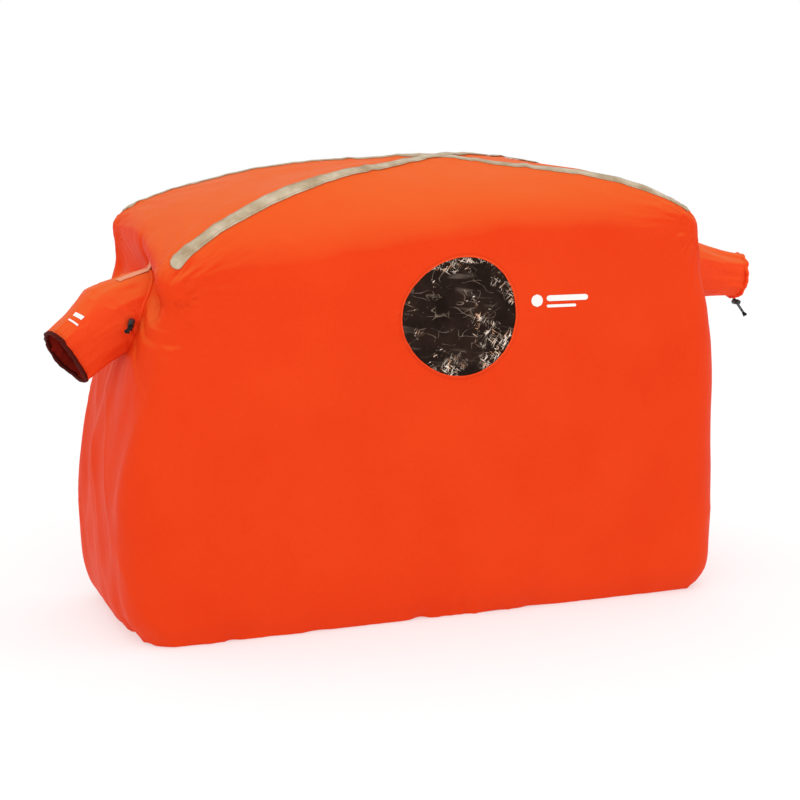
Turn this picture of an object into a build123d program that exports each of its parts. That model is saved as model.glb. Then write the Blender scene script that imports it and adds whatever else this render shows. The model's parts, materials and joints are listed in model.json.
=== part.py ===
from build123d import *
import os
from math import atan2, cos, degrees, radians, sin

# A two-person emergency storm shelter: an open-bottomed fabric box that sitting people hold up
# from inside. Millimetres, +Z up, +X towards the right end, -Y towards the windowed front.
# The origin is on the floor, midway between the two vent mouths.

# ---- driving dimensions ----
FABRIC = 1.6            # coated fabric with its turned and taped seams
# outline of the walls: height, left end, right end, half depth, corner radius
FLOOR_LINE = (0, -647, 593, 222, 70)
WALL_LINES = [
    (FABRIC, -649, 595, 224, 70),
    (45, -684, 626, 248, 85),
    (110, -695, 631, 258, 90),
    (220, -697, 630, 262, 92),
    (330, -693, 626, 262, 90),
    (445, -673, 622, 253, 82),
    (560, -650, 617, 242, 72),
    (680, -628, 598, 233, 63),
    (795, -608, 579, 226, 56),
]
EAVES = 795             # where the roof panel is sewn to the walls
RIDGE = 950
PEAK_X, PEAK_Y = 100, 75                         # highest point of the roof, over the heads inside
CROSSING_X = 51         # where the two tapes cross
ROOF_ANGLES = (0, 14, 28, 42, 55, 67, 78, 84)    # up the curve from the eaves towards the top
ROOF_POWER = 1.6        # how flat the roof is before it turns down
SEAM_LEFT, SEAM_RIGHT, SEAM_Y = -521, 476, 112   # the corner seams leave these points at 45 degrees

WINDOW_X, WINDOW_Z, WINDOW_R = 1, 632, 125
WINDOW_LAP = 12         # width that the film and its binding overlap the panel
FILM = 0.8
BINDING = 1.0

TAPE_WIDTH = 25
TAPE = 0.8
TAPE_CORNER_X, TAPE_CORNER_Y = 26, 24            # tape ends, in from the corners of the eaves outline

SKIRT = 60              # turn-under that lies on the floor
CORD_R = 1.4
HEM_BORE = 1.9          # radius of the channels that the drawcords run in
CORD_CLEARANCE = 0.3
HEM_WIDTH, HEM_HEIGHT = 10, 13.2
SEAT_LENGTH, SEAT_WIDTH, SEAT = 330, 290, 4

# fabric sleeves over the vents: middle of the base, middle of the mouth, radius of the mouth hem
SLEEVES = {
    "left": (Vector(-634, -30, 655), Vector(-764, -72, 562), 59),
    "right": (Vector(600, 0, 690), Vector(806, 0, 666), 49),
}
SLEEVE_FOLD = 0.6       # share of the sleeve that folds when it swings
BASE_R, COLLAR_R, COLLAR_SECTION = 78, 82, 5
MOUTH_SECTION = 5.5
TAB_RISE, TAB_WIDTH, TAB_REACH = 9, 20, 18
WALL_LEAN = 10          # degrees that the end panels lean in at the vents

LOCK_R, LOCK_BELOW, LOCK_ABOVE = 6.2, 11, 6      # barrel of a cord lock, about the cords' plane
BORE_R = 4.6
PLUNGER_R = 4.5
PLUNGER_TRAVEL = 3.2
PLUNGER_BOTTOM, HEAD_BOTTOM, HEAD_TOP, HEAD_R = -3.6, 9.6, 12, 5.2
SPRING_R, WIRE_R, SPRING_TURNS = 3.4, 0.3, 4
CORD_GAP = 1.6          # half the distance between the two cords in a lock
SLOT_WIDTH, SLOT_HEIGHT = 6.4, 3.3
LOCK_AT, TAIL_LENGTH, KNOT_R = 11, 46, 4.6       # along the tails, from where they come out

LEFT, RIGHT, FRONT, BACK = "left", "right", "front", "back"
FAR = 400


# ---- helpers ----
def outline(line, inset=0.0):
    """A rounded rectangle at one height of the body, moved in by inset."""
    z, left, right, half, radius, *shift = line
    shape = RectangleRounded(right - left - 2 * inset, 2 * (half - inset), max(radius - inset, 8))
    return Pos((left + right) / 2, sum(shift), z) * shape


def walls(inset=0.0):
    """The space inside the walls, from the skirt to the eaves."""
    return loft([outline(line, inset) for line in WALL_LINES])


def roof_lines(drop=0.0):
    """Outlines of the roof from the eaves to the top, shrinking towards the peak."""
    _, left, right, half, radius = WALL_LINES[-1]
    lines = []
    for angle in ROOF_ANGLES:
        rise = sin(radians(angle))
        keep = cos(radians(angle)) ** (2 / ROOF_POWER)
        lines.append((
            EAVES + (RIDGE - EAVES) * rise - drop,
            PEAK_X + (left - PEAK_X) * keep,
            PEAK_X + (right - PEAK_X) * keep,
            half * keep,
            max(radius * keep, 9),
            PEAK_Y * (1 - keep),
        ))
    return lines


def roof(inset=0.0):
    """The space under the roof. With an inset it reaches below the eaves, to cut right through."""
    lines = roof_lines(inset)
    solid = loft([outline(line, inset) for line in lines])
    if inset > 0:
        skirt = extrude(outline((EAVES - 20,) + lines[0][1:], inset), amount=20 - inset)
        solid = solid + skirt
    return solid


def wedge(side, top):
    """The quarter of the plan that belongs to one side, bounded by the corner seams."""
    corners = {
        (-1, -1): (SEAM_LEFT, -SEAM_Y), (1, -1): (SEAM_RIGHT, -SEAM_Y),
        (-1, 1): (SEAM_LEFT, SEAM_Y), (1, 1): (SEAM_RIGHT, SEAM_Y),
    }
    ends = {FRONT: ((-1, -1), (1, -1)), BACK: ((1, 1), (-1, 1)),
            LEFT: ((-1, 1), (-1, -1)), RIGHT: ((1, -1), (1, 1))}[side]
    inner = [corners[end] for end in ends]
    outer = [(x + FAR * end[0], y + FAR * end[1]) for end, (x, y) in zip(ends, inner)]
    face = make_face(Polyline(inner[0], inner[1], outer[1], outer[0], close=True))
    return extrude(face, amount=top)


def along(start, direction, x_hint=Vector(0, 0, 1)):
    """A plane at start whose Z is direction."""
    across = x_hint - direction * x_hint.dot(direction)
    return Plane(origin=start, x_dir=across.normalized(), z_dir=direction)


def ring(plane, radius, section):
    """A torus about a plane's Z."""
    return plane * Torus(radius, section)


# ---- walls, roof and window ----
def make_walls(outer, inner):
    shell = outer - inner
    panels = {side: shell & wedge(side, EAVES + 1) for side in (FRONT, BACK, LEFT, RIGHT)}
    hole = Pos(WINDOW_X, -FAR / 2, WINDOW_Z) * Rot(90, 0, 0) * Cylinder(WINDOW_R, FAR)
    panels[FRONT] = panels[FRONT] - hole
    for side in (LEFT, RIGHT):
        vent = Pos(SLEEVES[side][0]) * Rot(0, 90, 0) * Cylinder(BASE_R - 6, 120)
        panels[side] = panels[side] - vent
    return {
        "front_panel": panels[FRONT], "back_panel": panels[BACK],
        "left_end_panel": panels[LEFT], "right_end_panel": panels[RIGHT],
    }


def make_window(outer, inner):
    """A clear film lapped behind the opening, and a stitched binding round its edge."""
    disc = Pos(WINDOW_X, -FAR / 2, WINDOW_Z) * Rot(90, 0, 0) * Cylinder(WINDOW_R + WINDOW_LAP, FAR)
    eye = Pos(WINDOW_X, -FAR / 2, WINDOW_Z) * Rot(90, 0, 0) * Cylinder(WINDOW_R, FAR)
    film = (inner - walls(FABRIC + FILM)) & disc
    binding = ((walls(-BINDING) - outer) & disc) - eye
    return {"window_film": film, "window_binding": binding}


def make_roof(under):
    return {"roof_panel": under - roof(FABRIC)}


def make_tapes(under):
    """Two reflective tapes from corner to corner over the roof; the second is cut at the crossing."""
    skin = roof(-TAPE) - under
    skin = skin & (Pos(0, 0, EAVES + 5 + FAR / 2) * Box(4 * FAR, 2 * FAR, FAR))
    _, left, right, half, _ = WALL_LINES[-1]
    corner_y = half - TAPE_CORNER_Y
    left_x, right_x = left + TAPE_CORNER_X, right - TAPE_CORNER_X
    strips = []
    for slant in (-1, 1):
        strip = None
        for end in ((left_x, slant * corner_y), (right_x, -slant * corner_y)):
            run = Line((CROSSING_X, 0), end)
            bar = Rectangle(run.length, TAPE_WIDTH, align=(Align.MIN, Align.CENTER))
            tip = Pos(run.length, 0) * Circle(TAPE_WIDTH / 2)
            angle = degrees(atan2(end[1], end[0] - CROSSING_X))
            arm = Pos(CROSSING_X, 0) * Rot(0, 0, angle) * (bar + tip + Circle(TAPE_WIDTH / 2))
            strip = arm if strip is None else strip + arm
        strips.append(Pos(0, 0, EAVES) * extrude(strip, amount=FAR))
    first = skin & strips[0]
    second = (skin & strips[1]) - strips[0]
    return {"reflective_tape_front_left": first, "reflective_tape_front_right": second}


# ---- floor: skirts, hem, drawcord and seats ----
def make_floor(places):
    parts = {}
    _, left, right, half, radius = FLOOR_LINE
    inner_line = (0, left + SKIRT, right - SKIRT, half - SKIRT, radius - 30)
    flat = extrude(outline(FLOOR_LINE), amount=FABRIC) - extrude(outline(inner_line), amount=FABRIC)
    for side in (FRONT, BACK, LEFT, RIGHT):
        parts[f"{side}_skirt"] = flat & wedge(side, FABRIC)
    tube = extrude(outline(inner_line), amount=HEM_HEIGHT) - extrude(outline(inner_line, HEM_WIDTH), amount=HEM_HEIGHT)
    route = outline((HEM_HEIGHT / 2,) + inner_line[1:], HEM_WIDTH / 2).faces()[0].outer_wire()
    section = Plane(route @ 0, z_dir=route % 0)
    parts["hem_channel"] = tube - sweep(section * Circle(HEM_BORE), path=route) - exit_slot(places["hem"])
    parts["hem_drawcord"] = sweep(section * Circle(CORD_R), path=route)
    for side, at, way in ((LEFT, left + SKIRT + HEM_WIDTH, 1), (RIGHT, right - SKIRT - HEM_WIDTH, -1)):
        pad = Pos(at + way * SEAT_LENGTH / 2, 0, SEAT / 2) * Box(SEAT_LENGTH, SEAT_WIDTH, SEAT)
        parts[f"{side}_seat"] = fillet(pad.edges().filter_by(Axis.Z), 38)
    return parts


# ---- where each cord lock's tails leave their channel ----
def across(vector, axis):
    """The part of a vector at right angles to an axis, as a direction."""
    return (vector - axis * axis.dot(vector)).normalized()


def panel_normal(side):
    """Outward direction of an end panel at its vent."""
    way = -1 if side == LEFT else 1
    return Vector(way * cos(radians(WALL_LEAN)), 0, sin(radians(WALL_LEAN)))


def collar_centre(side):
    return SLEEVES[side][0] + panel_normal(side) * (COLLAR_SECTION - 2)


def sleeve_axis(side):
    base, mouth, _ = SLEEVES[side]
    return (mouth - base).normalized()


def tail_plane(start, out, push):
    """X runs along the tails, and the plunger is pressed down Z."""
    return Plane(origin=start, x_dir=out, z_dir=-push)


def lock_places():
    """Plane of each lock's tails, and the distance from the channel's middle to its outside."""
    places = {}
    for side, hint, lean in ((LEFT, Vector(0, 1, -0.35), -0.75), (RIGHT, Vector(0, 0, -1), 1)):
        _, mouth, mouth_r = SLEEVES[side]
        axis = sleeve_axis(side)
        spoke = across(hint, axis)
        out = (spoke + axis * lean).normalized()
        push = axis.cross(spoke).normalized()
        places[f"{side}_mouth"] = (tail_plane(mouth + spoke * mouth_r, out, push), MOUTH_SECTION)
        # the collar's lock lies at its front, close to the panel and clear of the sleeve
        normal = panel_normal(side)
        spoke = across(Vector(0, -1, -0.35), normal)
        out = (spoke + normal * 0.38).normalized()
        push = across(normal.cross(spoke), out)
        places[f"{side}_collar"] = (tail_plane(collar_centre(side) + spoke * COLLAR_R, out, push), COLLAR_SECTION)
    # the hem's lock lies inside, on the floor at the back
    start = Vector(-21, FLOOR_LINE[3] - SKIRT - HEM_WIDTH / 2, HEM_HEIGHT / 2)
    places["hem"] = (tail_plane(start, Vector(0, -1, 0), Vector(1, 0, 0)), HEM_WIDTH / 2)
    return places


def exit_slot(place):
    """The opening that two tails leave a channel by."""
    plane, reach = place
    return plane * Pos(reach, 0, 0) * Box(2 * reach, SLOT_WIDTH + 0.6, 2 * HEM_BORE)


# ---- vents ----
def sleeve_tube(rings):
    """A fabric tube through circles given as (plane, radius)."""
    outer = loft([plane * Circle(radius) for plane, radius in rings])
    inner = loft([plane * Circle(radius - FABRIC) for plane, radius in rings])
    return outer - inner


def make_vent(side, outer, places):
    base, mouth, mouth_r = SLEEVES[side]
    normal, axis = panel_normal(side), sleeve_axis(side)
    fold_length = (mouth - base).length * SLEEVE_FOLD
    collar_plane = along(collar_centre(side), normal)
    collar_face = along(base + normal * 2 * COLLAR_SECTION, normal)
    middle = along(base + normal * fold_length * 0.28 + axis * fold_length * 0.32, (normal + axis).normalized())
    fold_end = along(base + axis * fold_length, axis)
    inside_mouth = along(mouth - axis * MOUTH_SECTION, axis)
    mouth_plane = along(mouth, axis)
    fold_r = BASE_R - 6
    collar_bore = ring(collar_plane, COLLAR_R, HEM_BORE)
    collar_exit = exit_slot(places[f"{side}_collar"])
    collar = ring(collar_plane, COLLAR_R, COLLAR_SECTION) - outer - [collar_bore, collar_exit]
    mouth_bore = ring(mouth_plane, mouth_r, HEM_BORE)
    mouth_exit = exit_slot(places[f"{side}_mouth"])
    mouth_hem = ring(mouth_plane, mouth_r, MOUTH_SECTION) - [mouth_bore, mouth_exit]
    # a folded loop of tape sewn over the top of the collar
    loop = Box(TAB_RISE, TAB_WIDTH, TAB_REACH) - Box(TAB_RISE - 3, TAB_WIDTH, TAB_REACH - 3)
    loop = fillet(loop.edges().filter_by(Axis.Y), 1.2)
    tab = collar_plane * Pos(COLLAR_R + COLLAR_SECTION + 1 + TAB_RISE / 2, 0, TAB_REACH / 2 - 6) * loop
    return {
        f"{side}_vent_tab": tab - outer,
        f"{side}_vent_collar": collar,
        f"{side}_collar_cord": ring(collar_plane, COLLAR_R, CORD_R),
        f"{side}_sleeve_fold": sleeve_tube([(collar_face, BASE_R - 2), (middle, BASE_R), (fold_end, fold_r)]),
        f"{side}_sleeve_end": sleeve_tube([(fold_end, fold_r), (inside_mouth, mouth_r)]),
        f"{side}_mouth_hem": mouth_hem,
        f"{side}_mouth_cord": ring(mouth_plane, mouth_r, CORD_R),
    }


# ---- cord locks ----
def lock_parts():
    """A spring cord lock. The cords run along X, and the plunger is pushed down Z."""
    height = LOCK_ABOVE + LOCK_BELOW
    middle = (LOCK_ABOVE - LOCK_BELOW) / 2
    slot = Box(4 * LOCK_R, SLOT_WIDTH, SLOT_HEIGHT)
    case = Pos(0, 0, middle) * Cylinder(LOCK_R, height)
    case = fillet(case.edges().filter_by(GeomType.CIRCLE), 0.8)
    bore = Pos(0, 0, FABRIC) * Pos(0, 0, middle) * Cylinder(BORE_R, height)
    barrel = case - bore - slot

    stem_height = HEAD_BOTTOM - PLUNGER_BOTTOM
    stem = Pos(0, 0, PLUNGER_BOTTOM + stem_height / 2) * Cylinder(PLUNGER_R, stem_height)
    window = Pos(0, 0, PLUNGER_TRAVEL / 2) * Box(4 * LOCK_R, SLOT_WIDTH, SLOT_HEIGHT + PLUNGER_TRAVEL)
    head = Pos(0, 0, (HEAD_BOTTOM + HEAD_TOP) / 2) * Cylinder(HEAD_R, HEAD_TOP - HEAD_BOTTOM)
    head = fillet(head.edges().sort_by(Axis.Z)[-1], 1.0)
    plunger = (stem - window) + head

    floor = FABRIC - LOCK_BELOW
    rise = PLUNGER_BOTTOM - floor - 2 * WIRE_R - 0.1
    coil = Helix(pitch=rise / SPRING_TURNS, height=rise, radius=SPRING_R)
    wire = sweep(Plane(coil @ 0, z_dir=coil % 0) * Circle(WIRE_R), path=coil, is_frenet=True)
    spring = Pos(0, 0, floor + WIRE_R + 0.05) * wire
    return barrel, plunger, spring


def make_lock(name, place):
    """A lock on two straight cord tails, which end in a knot."""
    plane, reach = place
    barrel, plunger, spring = lock_parts()
    at_lock = plane * Pos(reach + LOCK_AT, 0, 0)
    inside = CORD_R + CORD_CLEARANCE
    length = reach + TAIL_LENGTH - inside
    cords = []
    for side in (-1, 1):
        at_cord = plane * Pos(inside, side * CORD_GAP, 0) * Rot(0, 90, 0)
        cords.append(at_cord * Cylinder(CORD_R, length, align=(Align.CENTER, Align.CENTER, Align.MIN)))
    knot = plane * (Pos(reach + TAIL_LENGTH + KNOT_R * 0.7, 0, 0) * Sphere(KNOT_R))
    return {
        f"{name}_lock_barrel": at_lock * barrel,
        f"{name}_lock_plunger": at_lock * plunger,
        f"{name}_lock_spring": at_lock * spring,
        f"{name}_cord_tails": Compound(children=[cord.solids()[0] for cord in cords]),
        f"{name}_cord_knot": knot - cords[0] - cords[1],
    }


def main():
    outer, inner = walls(), walls(FABRIC)
    under = roof()
    parts = {}
    parts |= make_walls(outer, inner)
    parts |= make_window(outer, inner)
    parts |= make_roof(under)
    parts |= make_tapes(under)
    places = lock_places()
    parts |= make_floor(places)
    for side in (LEFT, RIGHT):
        parts |= make_vent(side, outer, places)
    for name, place in places.items():
        parts |= make_lock(name, place)
    os.makedirs("parts", exist_ok=True)
    for name, shape in parts.items():
        export_step(shape, f"parts/{name}.step")
        print(name, len(shape.solids()), round(shape.volume), flush=True)


main()
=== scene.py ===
import json
import math
import bpy
import numpy as np
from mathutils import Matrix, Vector

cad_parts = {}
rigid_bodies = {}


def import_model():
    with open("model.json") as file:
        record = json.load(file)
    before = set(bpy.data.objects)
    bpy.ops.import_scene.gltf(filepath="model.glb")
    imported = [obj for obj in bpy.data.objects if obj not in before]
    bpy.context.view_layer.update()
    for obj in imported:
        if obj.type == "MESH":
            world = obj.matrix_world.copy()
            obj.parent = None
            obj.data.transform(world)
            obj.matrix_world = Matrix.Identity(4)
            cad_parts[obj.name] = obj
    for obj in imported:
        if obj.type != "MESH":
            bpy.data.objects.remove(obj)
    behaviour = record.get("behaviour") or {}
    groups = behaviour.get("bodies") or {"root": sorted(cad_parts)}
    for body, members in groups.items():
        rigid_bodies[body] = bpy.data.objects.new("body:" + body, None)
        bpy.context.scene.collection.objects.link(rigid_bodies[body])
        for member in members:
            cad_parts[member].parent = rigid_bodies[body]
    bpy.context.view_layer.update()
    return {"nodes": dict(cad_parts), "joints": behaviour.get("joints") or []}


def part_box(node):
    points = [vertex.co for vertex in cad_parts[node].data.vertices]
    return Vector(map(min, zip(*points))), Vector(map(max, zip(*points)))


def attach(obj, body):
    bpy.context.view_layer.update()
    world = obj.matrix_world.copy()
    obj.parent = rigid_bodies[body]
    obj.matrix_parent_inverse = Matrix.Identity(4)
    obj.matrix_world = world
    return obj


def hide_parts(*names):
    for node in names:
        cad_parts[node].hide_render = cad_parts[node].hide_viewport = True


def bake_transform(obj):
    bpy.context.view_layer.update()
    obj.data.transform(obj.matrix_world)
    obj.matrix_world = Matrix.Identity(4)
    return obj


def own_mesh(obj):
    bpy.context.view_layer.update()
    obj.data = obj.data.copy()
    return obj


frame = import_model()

MM = 0.001
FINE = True

# ---------------------------------------------------------------- camera, in metres and degrees
CAMERA_AT, CAMERA_TILT, CAMERA_TURN = (-1.395, -3.368, 0.998), 81.0, -22.0
camera_data = bpy.data.cameras.new("photo_view")
camera_data.lens = 76.5
camera_data.sensor_width = 36.0
camera_data.clip_end = 100
camera = bpy.data.objects.new("photo_view", camera_data)
bpy.context.scene.collection.objects.link(camera)
camera.location = CAMERA_AT
camera.rotation_euler = (math.radians(CAMERA_TILT), 0, math.radians(CAMERA_TURN))
bpy.context.scene.camera = camera
bpy.context.scene.view_settings.view_transform = "Standard"

# ---------------------------------------------------------------- shape of the shelter, in millimetres
# height, left end, right end, half depth, corner radius
LINES = np.array([
    (0.0, -655, 599, 228, 72), (45, -684, 626, 249, 85), (110, -695, 631, 258, 90),
    (220, -697, 630, 262, 92), (330, -693, 626, 262, 90), (445, -673, 622, 253, 82),
    (560, -650, 617, 242, 72), (680, -628, 598, 233, 60), (795, -608, 579, 226, 46),
])
# the roof rises from the eaves to a peak behind the middle; ROUND is the power of its curve
EAVES, RISE, ROUND = 795.0, 155.0, 1.6
PEAK_X, PEAK_Y = 100.0, 75.0
CROSSING = (51.0, 0.0)
TAPE_HALF = 12.5
# the window's x, height and radius, and how much wider the hole in the cloth is
WINDOW = (1.0, 632.0, 125.0)
WINDOW_EASE = 2.5
VENT_HOLE_R = 72
FLOOR_GAP = 0.2
# where each sleeve is sewn on and where its mouth is; flat is how far the mouth hangs closed
SLEEVES = {
    "left": dict(base=(-634, -30, 655), mouth=(-764, -72, 562), mouth_r=59, way=-1, flat=0.52, lock_side=1),
    "right": dict(base=(600, 0, 690), mouth=(806, 0, 666), mouth_r=49, way=1, flat=0.1, lock_side=0),
}
LEAN = math.radians(10)


def unit(v):
    return v / np.maximum(np.linalg.norm(v, axis=-1, keepdims=True), 1e-9)


def line_at(z):
    """Outline numbers at a height, smoothly between the known ones."""
    z = np.clip(z, 0, EAVES)
    i = min(int(np.searchsorted(LINES[:, 0], z, side="right")) - 1, len(LINES) - 2)
    z0, z1 = LINES[i, 0], LINES[i + 1, 0]
    span = z1 - z0
    t = (z - z0) / span
    lo, hi = max(i - 1, 0), min(i + 2, len(LINES) - 1)
    m0 = (LINES[i + 1, 1:] - LINES[lo, 1:]) / (z1 - LINES[lo, 0]) * span
    m1 = (LINES[hi, 1:] - LINES[i, 1:]) / (LINES[hi, 0] - z0) * span
    a, b = LINES[i, 1:], LINES[i + 1, 1:]
    return ((2 * t**3 - 3 * t**2 + 1) * a + (t**3 - 2 * t**2 + t) * m0
            + (3 * t**2 - 2 * t**3) * b + (t**3 - t**2) * m1)


SIDES = ("front", "right", "back", "left")
COUNT = {"front": 236, "back": 236, "left": 84, "right": 84} if FINE else {
    "front": 120, "back": 120, "left": 44, "right": 44}
ARC = 12 if FINE else 7


def side_row(side, left, right, half, radius, z):
    """Points along one side at one height, from the middle of one corner to the middle of the next."""
    turn = SIDES.index(side) * 90.0
    corners = {
        "front": ((left, -half), (right, -half)), "right": ((right, -half), (right, half)),
        "back": ((right, half), (left, half)), "left": ((left, half), (left, -half)),
    }[side]
    middle = np.array([(left + right) / 2, 0.0])
    points = []
    for end, corner in enumerate(corners):
        corner = np.array(corner, float)
        centre = corner - np.sign(corner - middle) * radius
        first = 225 + turn if end == 0 else 270 + turn
        angles = np.radians(first + np.linspace(0, 45, ARC + 1))
        arc = centre + radius * np.stack([np.cos(angles), np.sin(angles)], -1)
        points.append(arc)
    t = np.linspace(0, 1, COUNT[side] + 1)[1:-1, None]
    run = points[0][-1] * (1 - t) + points[1][0] * t
    flat = np.concatenate([points[0], run, points[1]])
    return np.concatenate([flat, np.full((len(flat), 1), z)], 1)


def wall_rows():
    fine = 5.0 if FINE else 10.0
    low = np.array([0, 2, 5, 9, 14, 20, 27, 35, 44.0])
    return np.concatenate([low, np.linspace(50, EAVES, int((EAVES - 50) / fine) + 1)])


def whole_ring(left, right, half, radius, z, shift=0.0):
    ring = np.concatenate([side_row(side, left, right, half, radius, z)[:-1] for side in SIDES])
    ring[:, 1] += shift
    return ring


def roof_keeps():
    """How much of the eaves outline is left at each ring, spread evenly over the curve."""
    shoulder, reach = 0.12, 420
    near_eaves = np.linspace(0, shoulder, 60) ** ROUND * shoulder ** (1 - ROUND)
    keep = np.concatenate([1 - near_eaves, np.linspace(1 - shoulder, 0.0, 300)[1:]])
    rise = RISE * np.sqrt(np.clip(1 - keep**ROUND, 0, 1))
    run = np.concatenate([[0], np.cumsum(np.hypot(np.diff(rise), np.diff(keep) * reach))])
    steps = 92 if FINE else 46
    wanted = np.interp(np.linspace(0, run[-1], steps + 1), run, keep)
    return np.maximum(wanted[1:], 0.004)


def body_grid():
    """Rings from the floor to the top of the roof, each all the way round."""
    rings = [whole_ring(*line_at(z), z) for z in wall_rows()]
    left, right, half, radius = LINES[-1, 1:]
    for k in roof_keeps():
        z = EAVES + RISE * math.sqrt(1 - k**ROUND)
        rings.append(whole_ring(PEAK_X + (left - PEAK_X) * k, PEAK_X + (right - PEAK_X) * k,
                                half * k, radius * k, z, PEAK_Y * (1 - k)))
    return np.array(rings)


def roof_height(x, y):
    """Height of the roof over a point in plan, before any creases."""
    left, right, half, radius = LINES[-1, 1:]
    centre = (left + right) / 2
    lo, hi = np.full(np.shape(x), 1e-3), np.ones(np.shape(x))
    for _ in range(34):
        k = (lo + hi) / 2
        px, py = PEAK_X + (x - PEAK_X) / k, PEAK_Y + (y - PEAK_Y) / k
        qx = np.abs(px - centre) - ((right - left) / 2 - radius)
        qy = np.abs(py) - (half - radius)
        out = np.hypot(np.maximum(qx, 0), np.maximum(qy, 0)) + np.minimum(np.maximum(qx, qy), 0) - radius
        inside = out < 0
        hi = np.where(inside, k, hi)
        lo = np.where(inside, lo, k)
    k = (lo + hi) / 2
    return EAVES + RISE * np.sqrt(np.clip(1 - k**ROUND, 0, 1))


# ---------------------------------------------------------------- noise
def lattice(ix, iy, iz, seed):
    h = (ix * 374761393 + iy * 668265263 + iz * 2147483647 + seed * 974711) & 0xFFFFFFFF
    h = ((h ^ (h >> 13)) * 1274126177) & 0xFFFFFFFF
    h = h ^ (h >> 16)
    return (h & 0xFFFF) / 32767.5 - 1.0


def noise(p, size, seed=0):
    """Smooth noise from -1 to 1. size is the spacing of its bumps, one number or three."""
    q = p / np.asarray(size, float)
    i = np.floor(q).astype(np.int64)
    f = q - i
    f = f * f * f * (f * (f * 6 - 15) + 10)
    total = 0
    for dx in (0, 1):
        wx = f[..., 0] if dx else 1 - f[..., 0]
        for dy in (0, 1):
            wy = f[..., 1] if dy else 1 - f[..., 1]
            for dz in (0, 1):
                wz = f[..., 2] if dz else 1 - f[..., 2]
                corner = lattice(i[..., 0] + dx, i[..., 1] + dy, i[..., 2] + dz, seed)
                total = total + wx * wy * wz * corner
    return total


def crease(p, size, seed=0):
    """Sharp-crested noise, like creases pressed into coated cloth."""
    return 1 - 2 * np.abs(noise(p, size, seed)) ** 0.8


def smooth(x, a, b):
    t = np.clip((x - a) / (b - a), 0, 1)
    return t * t * (3 - 2 * t)


# ---------------------------------------------------------------- how the cloth sags and puckers
# the tapes end this far inside the corners of the eaves
TAPE_INSET = (26, 24)
LEFT_END, RIGHT_END = LINES[-1, 1] + TAPE_INSET[0], LINES[-1, 2] - TAPE_INSET[0]
END_Y = LINES[-1, 3] - TAPE_INSET[1]
TAPES = {
    "front_left": ((LEFT_END, -END_Y), (RIGHT_END, END_Y)),
    "front_right": ((LEFT_END, END_Y), (RIGHT_END, -END_Y)),
}


def arms():
    for ends in TAPES.values():
        for end in ends:
            yield np.array(CROSSING), np.array(end, float)


def to_arm(p, start, end):
    """Distance from an arm of the tapes, and along it, in plan."""
    way = end - start
    length = np.linalg.norm(way)
    way = way / length
    rel = p[..., :2] - start
    along = np.clip(rel @ way, 0, length)
    away = np.linalg.norm(rel - along[..., None] * way, axis=-1)
    return away, along


def fan(p, centre, reach, folds, seed):
    """Creases that spread out from a point where the cloth is pulled."""
    rel = p - np.array(centre, float)
    far = np.linalg.norm(rel, axis=-1)
    way = rel / np.maximum(far, 1)[..., None]
    waves = noise(way * folds, 1.0, seed) + 0.5 * noise(way * folds * 2.1, 1.0, seed + 1)
    return waves * np.exp(-far / reach), far


def uneven(p):
    """Broad and small waves all over, and faint pressed creases in patches."""
    d = 4.2 * noise(p, (330, 330, 260), 3) + 1.9 * noise(p, (150, 150, 120), 5)
    d += 0.75 * noise(p, (58, 58, 70), 7)
    d += 0.30 * crease(p, (34, 34, 40), 11) * smooth(noise(p, 160, 12), -0.2, 0.7)
    return d


def roof_pull(p):
    """The roof hangs a little between its tapes, which gather it along their edges."""
    roof = smooth(p[..., 2], EAVES - 40, EAVES + 45)
    near = np.full(p.shape[:-1], 1e9)
    along = np.zeros(p.shape[:-1])
    for start, end in arms():
        away, run = to_arm(p, start, end)
        along = np.where(away < near, run, along)
        near = np.minimum(near, away)
    hang = -7 * (1 - np.exp(-(near / 62) ** 1.6)) * smooth(p[..., 1], 160, 40)
    ridge = 2.5 * np.exp(-(near / 24) ** 2)
    run = np.stack([along, np.zeros_like(along), np.zeros_like(along)], -1)
    gathers = 1.5 * noise(run, 17, 21) * np.exp(-np.abs(near - 15) / 16)
    gathers += 2.2 * noise(run, 44, 22) * np.exp(-near / 55)
    slant = np.stack([along * 0.8 + near * 0.5, near * 0.35, near * 0], -1)
    pressed = 1.6 * crease(slant, (60, 42, 50), 23) * np.exp(-near / 130)
    return roof * (hang + ridge + gathers + pressed)


def corner_pull(p):
    """Creases at the corners of the roof, where the panels pull together."""
    d = 0
    for x, y in ((-600, -214), (-600, 214), (572, -214), (572, 214)):
        waves, far = fan(p, (x, y, 792), 95, 4.6, 31 + int(y > 0))
        d += 5.5 * waves * smooth(far, 5, 60)
        sharp, _ = fan(p, (x, y, 792), 70, 8.0, 35 + int(x > 0))
        d -= 7 * np.abs(sharp) * smooth(far, 5, 50)
    return d


def vent_pull(p):
    """Creases that spread from each vent, in the slight hollow that its sleeve pulls."""
    d = 0
    for side, data in SLEEVES.items():
        seed = 41 if side == "left" else 43
        waves, far = fan(p, data["base"], 120, 3.4, seed)
        near_end = smooth(far, 70, 105)
        d += 9 * waves * near_end
        sharp, _ = fan(p, data["base"], 90, 6.0, seed + 4)
        d -= 9 * np.abs(sharp) * near_end
        d -= 6 * np.exp(-((far - 88) / 34) ** 2) * smooth(far, 40, 80)
    return d


def left_end_pull(p):
    """The left end is pulled in between its roof corners and the vent, and its corners stand out."""
    on_the_end = smooth(p[..., 0], -560, -600) * smooth(np.abs(p[..., 1]), 226, 150)
    d = -24 * on_the_end * np.exp(-((p[..., 2] - 722) / 48) ** 2)
    for y in (-200, 200):
        far = np.linalg.norm(p - np.array((-596, y, 800)), axis=-1)
        d += 9 * np.exp(-(far / 36) ** 2)
    return d


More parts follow.
